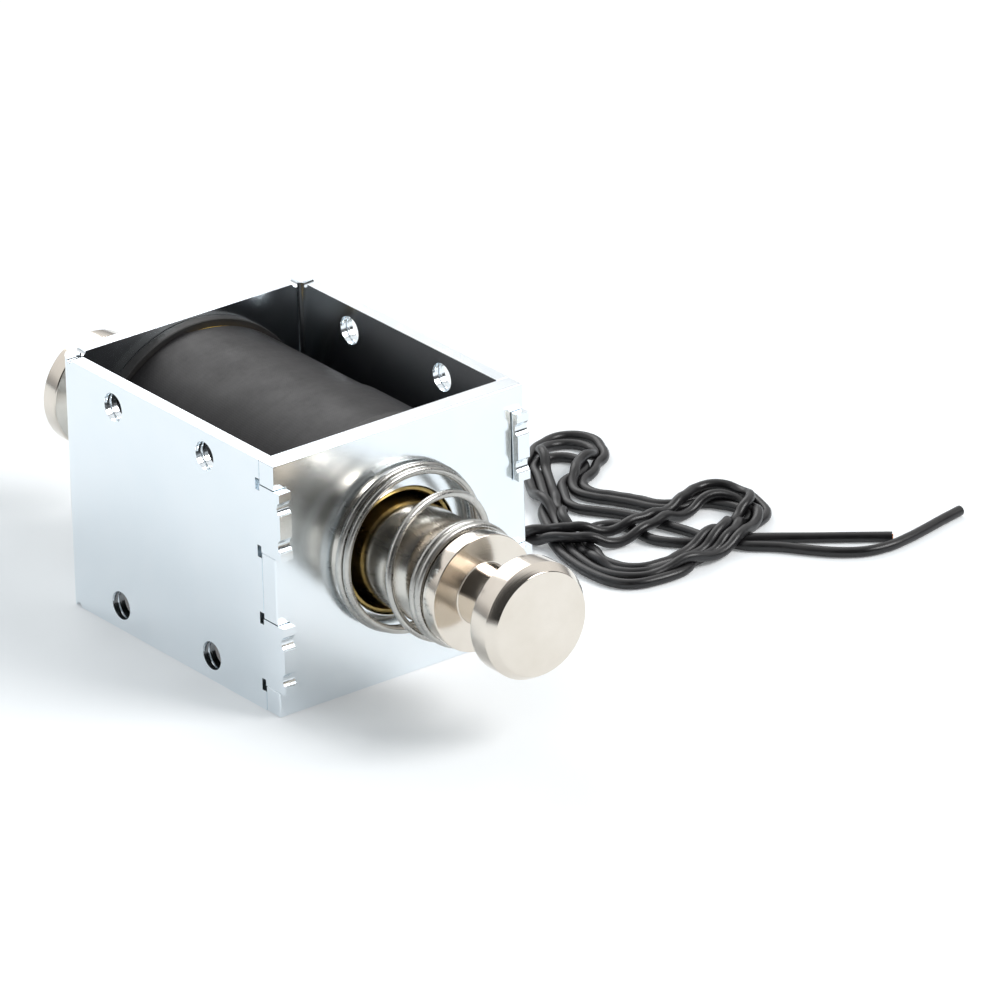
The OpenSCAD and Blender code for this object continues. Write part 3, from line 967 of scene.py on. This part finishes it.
@dataclass
class Leads:
    """The two loose leads, from their sleeves through the bundle to their cut ends.

    The routes are in millimetres, x and y from the middle of the sleeves' outer ends. The heads
    also have their height.
    """

    dresser: Dresser
    plan_x: float = 19.5
    plan_y: float = 4.3
    lead_d: float = 1.2
    step: float = 0.8
    tightest: float = 3.4
    lift: float = 4.5
    rounds: int = 300
    still: float = 6.0
    climb: Tuple[Tuple[float, float], Tuple[float, float]] = ((2.5, 5.5), (1.1, 1.4))
    strand_r: float = 0.11
    head_a: Sequence[Point] = (
        (0, -1.1, 1.1), (2.5, -1.1, 1.1), (5, -1.3, 0.8), (8, -1.5, 0.6), (11, -1.5, 0.6),
    )
    head_b: Sequence[Point] = (
        (0, 1.1, 1.1), (2.5, 1.1, 1.1), (5, 1.4, 0.8), (8, 1.6, 0.6), (10.5, 0.7, 0.6),
    )
    route_a: Sequence[Tuple[float, float]] = (
        (14.5, -5), (18.5, -7), (23, -8.5), (27.5, -7.5), (32, -6.5), (35.5, -6.5), (37.5, -8.5),
        (36.5, -11.5), (34, -14), (31, -16), (26.5, -17.5), (22, -18.5), (18, -18.5), (14.5, -18),
        (13, -14.5), (13.5, -10.5), (15.5, -5), (18, 1), (21.5, 7), (24.5, 11.5), (28.5, 14.5),
        (31.5, 16), (32.5, 14.5), (31, 11.5), (28, 9), (25, 7), (23.5, 4), (24.5, 1), (26, -1.5),
        (27.5, -4.5), (29.5, -7), (32, -8), (34.5, -9), (35.5, -12), (34, -14.5), (31.5, -16.5),
        (27.5, -18), (22.5, -19.5), (17, -20.5), (13, -20), (11.5, -17), (11.5, -13), (13, -7.5),
        (16, -2), (19, 3.5), (22, 8.5), (25.5, 12), (28.5, 13.5), (29.5, 12.5), (28, 9.5), (25, 7),
        (22, 4.5), (20.5, 1), (22, -1.5), (24, -4.5), (25.5, -8), (26.5, -12), (27.5, -15.5),
    )
    route_b: Sequence[Tuple[float, float]] = (
        (13, -7), (15.5, -9), (19, -10.5), (22.5, -10.5), (27, -9.5), (31.5, -8.5), (35, -9),
        (36.5, -11.5), (36, -14.5), (33.5, -16.5), (30.5, -18), (26, -19), (22, -20), (18, -20),
        (15, -19), (13, -16.5), (13, -12.5), (14, -8.5), (16, -3.5), (18.5, 2.5), (21.5, 8.5),
        (25, 13), (28.5, 16), (31.5, 17.5), (33.5, 17), (34, 14.5), (32, 11), (28.5, 8.5),
        (25.5, 6.5), (25, 3.5), (26, 0.5), (27.5, -2.5), (29, -5.5), (32, -6.5), (35.5, -6.5),
        (38, -8), (37.5, -11.5), (35.5, -14.5), (32, -16.5), (28, -17), (23.5, -17.5), (19, -18),
        (16, -16.5), (14.5, -13.5), (15, -9.5), (16, -5.5), (18, -4.5), (20, -7), (21.5, -10.5),
        (23, -13.5), (25, -16), (26.5, -18),
    )
    tail_a: Sequence[Tuple[float, float]] = (
        (30, -17.9), (31.5, -19.2), (33.5, -20.8), (36.5, -23.3), (40, -26.1), (43.2, -28.7),
    )
    tail_b: Sequence[Tuple[float, float]] = (
        (28, -18.5), (29.5, -20.3), (32, -22.8), (34, -25.6), (36, -28), (38.5, -29.8),
        (41.5, -30.4), (44.5, -30.1), (47.5, -29.5), (50.5, -28.8), (53.5, -28.2),
    )

    def build(self) -> None:
        line_a, line_b = self.settled()
        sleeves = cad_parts["lead_sleeves"]
        self.cord("first_lead", line_a, ("lead_a", "wire_hank", "tail_a"))
        self.cord("second_lead", line_b, ("lead_b", "tail_b"))
        self.dresser.cover("lead_sleeves", Slot.SLEEVING)

    def waypoints(
        self,
        head: Sequence[Point],
        route: Sequence[Tuple[float, float]],
        tail: Sequence[Tuple[float, float]],
    ) -> np.ndarray:
        """Joins a lead's head, route and tail into one line in millimetres.

        Args:
            head: the points from the sleeve to the floor.
            route: the points across the bundle.
            tail: the points from the bundle to the cut end.

        Returns:
            The points, one row each.
        """
        low = self.lead_d / 2
        points = np.array([*head, *((x, y, low) for x, y in (*route, *tail))], float)
        return points + (self.plan_x, self.plan_y, 0.0)

    def evenly(self, points: np.ndarray, step: float) -> np.ndarray:
        """Runs a smooth curve through points and cuts it into equal steps.

        Args:
            points: the points that it passes.
            step: the length of a step.

        Returns:
            The points of the curve.
        """
        padded = np.vstack([2 * points[0] - points[1], points, 2 * points[-1] - points[-2]])
        dense = []
        share = np.linspace(0, 1, 20, endpoint=False)[:, None]
        for a, b, c, d in zip(padded, padded[1:], padded[2:], padded[3:]):
            first = (c - a) * share
            second = (2 * a - 5 * b + 4 * c - d) * share ** 2
            third = (3 * b - a - 3 * c + d) * share ** 3
            dense.append(b + (first + second + third) / 2)
        line = np.vstack([*dense, points[-1:]])
        along = np.concatenate([[0], np.cumsum(np.linalg.norm(np.diff(line, axis=0), axis=1))])
        marks = np.linspace(0, along[-1], int(round(along[-1] / step)) + 1)
        return np.column_stack([np.interp(marks, along, line[:, k]) for k in range(3)])

    def settled(self) -> List[np.ndarray]:
        """Lets both leads fall onto the floor and each other, at fixed length.

        Returns:
            The centre line of each lead, in metres.
        """
        leads = (
            (self.head_a, self.route_a, self.tail_a),
            (self.head_b, self.route_b, self.tail_b),
        )
        lines = []
        held = []
        for head, route, tail in leads:
            line = self.evenly(self.waypoints(head, route, tail), self.step)
            line[:, 2] += self.lift * np.linspace(1, 0, len(line))
            start = int(self.still / self.step)
            line[:start, 2] = np.interp(np.arange(start) * self.step, *self.climb)
            tail_start = np.add(tail[1], (self.plan_x, self.plan_y))
            end = int(np.argmin(np.linalg.norm(line[:, :2] - tail_start, axis=1)))
            line[end:, 2] = self.lead_d / 2
            fixed = np.ones(len(line), bool)
            fixed[start:end] = False
            lines.append(line)
            held.append(fixed)
        settling = Settling(lines, held, self.lead_d, self.step, self.tightest)
        fine = [self.evenly(spots, self.step / 2) * MM for spots in settling.run(self.rounds)]
        LOG.info("leads: %.0f and %.0f mm long", *(self.length(line) / MM for line in fine))
        return fine

    def length(self, line: np.ndarray) -> float:
        """Length of a line."""
        return float(np.linalg.norm(np.diff(line, axis=0), axis=1).sum())

    def cord(
        self, name: str, line: np.ndarray, nodes: Sequence[str],
    ) -> None:
        """Makes one lead as a round curve, with its cut end.

        Args:
            name: the piece's name.
            line: its centre line in metres.
            nodes: the CAD nodes that it replaces.
        """
        data = bpy.data.curves.new(name, "CURVE")
        data.dimensions = "3D"
        data.bevel_depth = self.lead_d / 2 * MM
        data.bevel_resolution = 5
        data.use_fill_caps = True
        spline = data.splines.new("POLY")
        spline.points.add(len(line) - 1)
        rows = np.column_stack([line, np.ones(len(line))])
        spline.points.foreach_set("co", rows.ravel())
        spline.use_smooth = True
        piece = placed(name, data)
        self.dresser.dress(piece, Slot.INSULATION, Body.FRAME, *nodes)
        end = self.cut_end(name + "_strands", line[-1], line[-1] - line[-3])
        tuple(line[0])
        round(self.length(line), 3)

    def cut_end(self, name: str, tip: np.ndarray, ahead: np.ndarray) -> Piece:
        """Makes the seven bare strands that show in a lead's cut end.

        Args:
            name: the piece's name.
            tip: the middle of the cut.
            ahead: the way that the lead points there.

        Returns:
            The piece.
        """
        strand = self.strand_r * MM
        wall = 0.96
        reaches = (-0.5 * MM, 0.12 * MM)
        sides = 8
        ahead = ahead / np.linalg.norm(ahead)
        side = np.cross(ahead, (0.0, 0.0, 1.0))
        side /= np.linalg.norm(side)
        over = np.cross(side, ahead)

        def across(count: int, number: int) -> np.ndarray:
            """The way to one of some points round the strand."""
            turn = 2 * math.pi * number / count
            return math.cos(turn) * side + math.sin(turn) * over

        centres = [np.zeros(3), *(2 * strand * across(6, k) for k in range(6))]
        points: List[np.ndarray] = []
        faces: List[List[int]] = []
        for centre in centres:
            faces += skin_faces(rings_of(2, sides, len(points)), capped=True)
            for reach in reaches:
                middle = tip + ahead * reach + centre
                points += [middle + strand * wall * across(sides, k) for k in range(sides)]
        return self.dresser.dress(mesh_piece(name, points, faces), Slot.COPPER, Body.FRAME)


class Settling:
    """Moves the points of several wires until they lie on the floor and on each other."""

    # How far a free point falls and is drawn back to its route in a round, in millimetres and
    # as a share, and the shares of the rounds after which the draw is weak and the fall stops.
    FALL = 0.02
    DRAW = 0.02
    LATE_DRAW = 0.003
    LATE = 0.55
    LANDED = 0.9
    # Rounds between two searches for pairs, passes in a round, and the spans that are unbent.
    SEARCH_EVERY = 6
    PASSES = 4
    SPANS = (1, 2, 3, 4)
    # What counts as near and as another run, in wire diameters, and the strength of the pushes.
    NEAR = 2.2
    APART = 2.6
    PUSH = 1.2
    EASE = 0.35

    def __init__(
        self,
        lines: Sequence[np.ndarray],
        held: Sequence[np.ndarray],
        wire: float,
        step: float,
        tightest: float,
    ) -> None:
        """Joins the wires into one set of points.

        Args:
            lines: the points of each wire.
            held: the points of each wire that don't move.
            wire: the wire's diameter.
            step: the length between two points.
            tightest: the smallest radius that the wire bends to.
        """
        counts = [len(line) for line in lines]
        self.spots = np.vstack(lines)
        self.home = self.spots[:, :2].copy()
        self.free = np.where(np.concatenate(held), 0.0, 1.0)
        self.wire = wire
        self.step = step
        self.tightest = tightest
        starts = np.concatenate([[0], np.cumsum(counts)])
        self.ranges = list(zip(starts, starts[1:]))
        self.owner = np.repeat(np.arange(len(lines)), counts)
        self.links = np.concatenate([np.arange(a, b - 1) for a, b in self.ranges])

    def run(self, rounds: int) -> List[np.ndarray]:
        """Settles the wires.

        Args:
            rounds: how many rounds of moves are made.

        Returns:
            The points of each wire.
        """
        for count in range(rounds):
            if count % self.SEARCH_EVERY == 0:
                pairs = self.near()
            if count < rounds * self.LANDED:
                self.spots[:, 2] -= self.FALL * self.free
            draw = self.LATE_DRAW if count > rounds * self.LATE else self.DRAW
            self.spots[:, :2] += draw * (self.home - self.spots[:, :2]) * self.free[:, None]
            for _ in range(self.PASSES):
                self.part(pairs)
                self.stretch()
                for span in self.SPANS:
                    self.unbend(span)
                self.spots[:, 2] = np.maximum(self.spots[:, 2], self.wire / 2)
        return [self.spots[a:b] for a, b in self.ranges]

    def near(self) -> Tuple[np.ndarray, np.ndarray]:
        """Finds the points of different runs that could touch.

        Returns:
            The numbers of the first and second point of each pair.
        """
        apart = np.linalg.norm(self.spots[:, None] - self.spots[None], axis=2)
        first, second = np.where(np.triu(apart < self.wire * self.NEAR, 1))
        along = np.abs(first - second) > self.APART * self.wire / self.step
        other = self.owner[first] != self.owner[second]
        keep = along | other
        return first[keep], second[keep]

    def part(self, pairs: Tuple[np.ndarray, np.ndarray]) -> None:
        """Pushes runs that lie in each other apart.

        Args:
            pairs: the points that could touch.
        """
        first, second = pairs
        away = self.spots[first] - self.spots[second]
        gap = np.maximum(np.linalg.norm(away, axis=1), 1e-6)
        deep = gap < self.wire
        first, second, away, gap = first[deep], second[deep], away[deep], gap[deep]
        move = (self.wire - gap)[:, None] * away / gap[:, None] / 2
        total = np.zeros_like(self.spots)
        count = np.zeros(len(self.spots))
        np.add.at(total, first, move)
        np.add.at(total, second, -move)
        np.add.at(count, first, 1)
        np.add.at(count, second, 1)
        mean = total / np.maximum(count, 1)[:, None]
        self.spots += mean * self.free[:, None] * self.PUSH

    def stretch(self) -> None:
        """Brings every link back to its length."""
        for links in (self.links[::2], self.links[1::2]):
            along = self.spots[links + 1] - self.spots[links]
            now = np.linalg.norm(along, axis=1)
            move = (now - self.step)[:, None] * along / now[:, None]
            share = self.free[links] + self.free[links + 1]
            share = np.where(share == 0, 1, share)
            self.spots[links] += move * (self.free[links] / share)[:, None]
            self.spots[links + 1] -= move * (self.free[links + 1] / share)[:, None]

    def unbend(self, span: int) -> None:
        """Opens the bends that are tighter than the wire can take.

        Args:
            span: how many links on each side are measured.
        """
        middles = np.concatenate([np.arange(a + span, b - span) for a, b in self.ranges])
        allowed = (span * self.step) ** 2 / (2 * self.tightest)
        chord = (self.spots[middles - span] + self.spots[middles + span]) / 2
        bow = self.spots[middles] - chord
        size = np.linalg.norm(bow, axis=1)
        move = (np.maximum(size - allowed, 0) / np.maximum(size, 1e-9))[:, None] * bow
        total = np.zeros_like(self.spots)
        np.add.at(total, middles, -self.EASE * move)
        np.add.at(total, middles - span, self.EASE / 2 * move)
        np.add.at(total, middles + span, self.EASE / 2 * move)
        self.spots += total * self.free[:, None]


# ---------------------------------------------------------------- frame

@dataclass
class SteelFrame:
    """The folded strip and the plate staked into it, with rounded edges and screw threads."""

    dresser: Dresser
    strip: Sequence[str] = ("left_side_plate", "right_side_plate", "push_end_plate")
    bend_ends: Sequence[float] = (-14.7, 14.7)
    edge: float = 0.14
    thread_pitch: float = 0.7
    thread_r: float = 1.65
    thread_depth: float = 0.16
    thread_foot: float = 0.26
    thread_sunk: float = 0.02
    thread_margin: float = 0.35
    steps_per_turn: int = 40
    holes_y: Sequence[float] = (-4.2, 12.8)
    holes_z: Sequence[float] = (3.0, 27.0)
    walls: Sequence[Tuple[float, float]] = ((-17.0, -15.4), (15.4, 17.0))

    def build(self) -> None:
        """Makes the plates and the threads in their screw holes."""
        strip = bevelled_copy("folded_strip", self.strip, self.edge, self.bend_ends)
        self.dresser.dress(strip, Slot.ZINC, Body.FRAME, *self.strip)
        plate = bevelled_copy("staked_plate", ("pull_end_plate",), self.edge)
        self.dresser.dress(plate, Slot.ZINC, Body.FRAME, "pull_end_plate")
        holes = [(wall, y, z) for wall in self.walls for y in self.holes_y for z in self.holes_z]
        for number, hole in enumerate(holes, 1):
            thread = self.thread(f"screw_thread_{number}", *hole)
            self.dresser.dress(thread, Slot.ZINC, Body.FRAME)

    def thread(self, name: str, wall: Tuple[float, float], y: float, z: float) -> Piece:
        """Makes the ridge of a screw thread on the wall of a hole.

        Args:
            name: the piece's name.
            wall: the x of both faces of the plate, in millimetres.
            y: the hole's y.
            z: the hole's height.

        Returns:
            The piece.
        """
        low, high = wall
        pitch = self.thread_pitch
        margin = pitch * self.thread_margin
        turns = (high - low - 2 * margin) / pitch
        steps = int(turns * self.steps_per_turn)
        foot_r = self.thread_r + self.thread_sunk
        crest_r = self.thread_r - self.thread_depth
        section = ((foot_r, -self.thread_foot), (crest_r, 0.0), (foot_r, self.thread_foot))
        points: List[Point] = []
        for i in range(steps + 1):
            turn = 2 * math.pi * turns * i / steps
            x = low + margin + pitch * turns * i / steps
            along, up = math.cos(turn), math.sin(turn)
            points += [
                ((x + shift) * MM, (y + radius * along) * MM, (z + radius * up) * MM)
                for radius, shift in section
            ]
        faces = skin_faces(rings_of(steps + 1, len(section)), capped=True)
        return mesh_piece(name, points, faces, 80.0)


# ---------------------------------------------------------------- coil

@dataclass
class Coil:
    """The bobbin, its winding, film and tape."""

    dresser: Dresser
    edge: float = 0.15
    tape_r: float = 14.2
    overlap_r: float = 14.4
    film_r: float = 13.9
    sunk: float = 0.02
    tape_ends: Tuple[float, float] = (-12.74, 20.24)
    seam: float = -1.3
    around: int = 240
    bare: float = 0.75
    slip_at: float = 72.0
    slip_reach: float = 25.0

    def build(self) -> None:
        """Makes the tape and dresses the rest of the coil."""
        bobbin = bevelled_copy("moulded_bobbin", ("bobbin",), self.edge)
        self.dresser.dress(bobbin, Slot.BOBBIN, Body.FRAME, "bobbin")
        self.dresser.cover("winding", Slot.COPPER)
        self.dresser.cover("polyester_film", Slot.AMBER)
        self.dresser.dress(self.tape(), Slot.TAPE, Body.FRAME, "cloth_tape", "tape_overlap")

    def tape(self) -> Piece:
        """Winds the tape as one skin, with its overlap, a lifted seam and slightly wavy edges.

        Returns:
            The piece.
        """
        front, back = self.tape_ends
        stations = [
            *(front + step for step in (0.0, 0.12, 0.6)),
            *np.linspace(front + 1.4, self.seam - 0.25, 12),
            *(self.seam + step for step in (-0.02, 0.03, 0.5)),
            *np.linspace(self.seam + 1.4, back - 1.2, 22),
            *(back - step for step in (0.5, 0.12, 0.0)),
        ]
        turns = [2 * math.pi * k / self.around for k in range(self.around)]
        points = [self.skin(y, turn) for y in stations for turn in turns]
        inner = (self.film_r - self.sunk) / self.overlap_r
        axis = AXIS_Z * MM
        for y in (back, front):
            edge = (self.skin(y, turn) for turn in turns)
            points += [(x * inner, along, axis + (z - axis) * inner) for x, along, z in edge]
        rings = rings_of(len(stations) + 2, self.around)
        return mesh_piece("wound_tape", points, skin_faces(rings, closed=True), 28.0)

    def skin(self, y: float, turn: float) -> Point:
        """A point of the tape's outer surface.

        Args:
            y: the place along the coil, in millimetres.
            turn: the angle round it.

        Returns:
            The point in metres.
        """
        radius = (self.overlap_r if y < self.seam else self.tape_r) - 0.03
        radius += 0.015 * math.sin(3 * turn + 0.4 * y) + 0.01 * math.sin(7 * turn - 0.2 * y)
        inward = 0.03 * math.sin(5 * turn) + 0.03 * math.sin(11 * turn + 1.0) - 0.06
        away = (math.degrees(turn) - self.slip_at) / self.slip_reach
        if abs(away) < 1.0:
            inward -= self.bare * math.cos(away * math.pi / 2) ** 0.5
        front, back = self.tape_ends
        share = (y - (front + back) / 2) / ((back - front) / 2)
        y += inward * share ** 5
        return (radius * math.cos(turn) * MM, y * MM, (AXIS_Z + radius * math.sin(turn)) * MM)


# ---------------------------------------------------------------- middle

@dataclass
class Middle:
    """The fixed parts on the plunger's axis: guide tube, core, shim, bush and bumper.

    Each turned profile has the radius, y and corner radius of its points, in millimetres.
    """

    dresser: Dresser
    tube: Sequence[Point] = (
        (6.88, -16.4, 0.1), (7.3, -16.4, 0.12), (7.3, 21.7, 0.1), (6.28, 21.7, 0.1),
        (6.28, -14.8, 0.3),
    )
    bumper: Sequence[Point] = (
        (2.82, 23.3, 0.2), (5.22, 23.3, 0.2), (5.22, 24.8, 0.3), (2.82, 24.8, 0.25),
    )

    def build(self) -> None:
        """Makes the tube's mouth and dresses the others."""
        tube = lathe("guide_tube_turned", self.tube, True)
        self.dresser.dress(tube, Slot.BRASS, Body.FRAME, "guide_tube")
        bumper = lathe("bumper_ring", self.bumper, True)
        self.dresser.dress(bumper, Slot.RUBBER, Body.FRAME, "bumper_washer")
        self.dresser.cover("fixed_core", Slot.CORE)
        self.dresser.cover("core_shim", Slot.BRONZE)
        self.dresser.cover("rod_bush", Slot.BRONZE)


# ---------------------------------------------------------------- plunger

@dataclass
class Armature:
    """Everything that slides: plunger, rod, ring, pad and pin.

    Each turned profile has the radius, y and corner radius of its points, in millimetres.
    """

    dresser: Dresser
    plunger: Sequence[Point] = (
        (0.0, -41.6, 0.0), (6.0, -41.6, 0.2), (6.75, -40.4, 0.2), (6.75, -37.8, 0.16),
        (3.5, -37.8, 0.22), (3.5, -31.3, 0.22), (6.75, -31.3, 0.14), (6.75, -29.3, 0.14),
        (6.2, -29.3, 0.1), (6.2, -5.2, 0.1), (5.8, -5.2, 0.1), (3.5, -2.2, 0.1), (0.0, -2.2, 0.0),
    )
    rod: Sequence[Point] = (
        (0.0, -11.2, 0.0), (2.3, -11.2, 0.1), (2.5, -11.0, 0.1), (2.5, 38.9, 0.1),
        (2.3, 39.1, 0.1), (0.0, 39.1, 0.0),
    )
    pad: Sequence[Point] = (
        (0.0, 41.6, 0.0), (6.45, 41.6, 0.15), (6.75, 41.3, 0.12), (6.75, 39.25, 0.12),
        (6.6, 39.1, 0.1), (3.5, 39.1, 0.25), (3.5, 36.3, 0.1), (3.3, 36.1, 0.1),
        (2.5, 36.1, 0.05), (2.5, 36.4, 0.0), (0.0, 36.4, 0.0),
    )
    ring_edge: float = 0.06
    pin_edge: float = 0.05

    def build(self) -> None:
        """Makes the sliding parts."""
        clip, pin = "retaining_ring", "roll_pin"
        for piece, slot, node in (
            (lathe("turned_plunger", self.plunger, False, 192), Slot.NICKEL, "plunger"),
            (lathe("ground_rod", self.rod, False, 96), Slot.GROUND, "push_rod"),
            (lathe("turned_pad", self.pad, False, 160), Slot.NICKEL, "push_pad"),
            (bevelled_copy("rod_clip", (clip,), self.ring_edge), Slot.SPRING, clip),
            (bevelled_copy("pad_pin", (pin,), self.pin_edge), Slot.SPRING, pin),
        ):
            self.dresser.dress(piece, slot, Body.ARMATURE, node)


# ---------------------------------------------------------------- spring

@dataclass
class ReturnSpring:
    """The conical return spring, closed at both ends. Sizes are in millimetres and turns."""

    dresser: Dresser
    plate_y: float = -16.7
    wire: float = 0.9
    play: float = 0.05
    length: float = 12.6
    closed: float = 1.75
    opened: float = 1.4
    start: float = -49.0
    big: float = 19.0
    taper: float = 0.25
    small: float = 13.4
    shortest: float = 2.6
    off_centre: Tuple[float, float] = (0.1, 0.7)
    steps_per_turn: int = 72
    sides: int = 18

    def build(self) -> None:
        """Makes the spring."""
        turns = 2 * self.closed + self.opened
        steps = int(turns * self.steps_per_turn)
        path = np.array([self.centre(turns * i / steps) for i in range(steps + 1)])
        piece = sweep("return_spring_wire", path, self.wire / 2 * MM, self.sides)
        self.dresser.dress(piece, Slot.SPRING, Body.FRAME, "return_spring")
        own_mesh(piece)

    def centre(self, turn: float) -> Point:
        """The middle of the wire after some turns.

        Args:
            turn: the turns from the plate.

        Returns:
            The point in metres.
        """
        pitch = self.wire + self.play
        share = min(max((turn - self.closed) / self.opened, 0.0), 1.0)
        opening = share * share * (3 - 2 * share)
        free = self.length - self.wire - 2 * self.play - 2 * self.closed * pitch
        rise = turn * pitch + (free - self.opened * pitch) * opening
        large = self.big / 2 - self.taper * min(turn, self.closed)
        radius = large + (self.small / 2 - large) * opening
        angle = 2 * math.pi * turn + math.radians(self.start)
        loose = (1 - opening) ** 3
        x = radius * math.cos(angle) + self.off_centre[0] * loose
        z = AXIS_Z + radius * math.sin(angle) + self.off_centre[1] * loose
        return (x * MM, (self.plate_y - self.wire / 2 - self.play - rise) * MM, z * MM)


# ---------------------------------------------------------------- all of it

def main() -> None:
    """Builds the studio and every sub-assembly in order."""
    logging.basicConfig(level=logging.INFO, format="%(name)s: %(message)s")
    dresser = Dresser(Finishes())
    Studio().build()
    for assembly in (Leads, SteelFrame, Coil, Middle, Armature, ReturnSpring):
        assembly(dresser).build()
        LOG.info("%s built", assembly.__name__)
    bpy.context.view_layer.update()


if __name__ == "__main__":
    main()
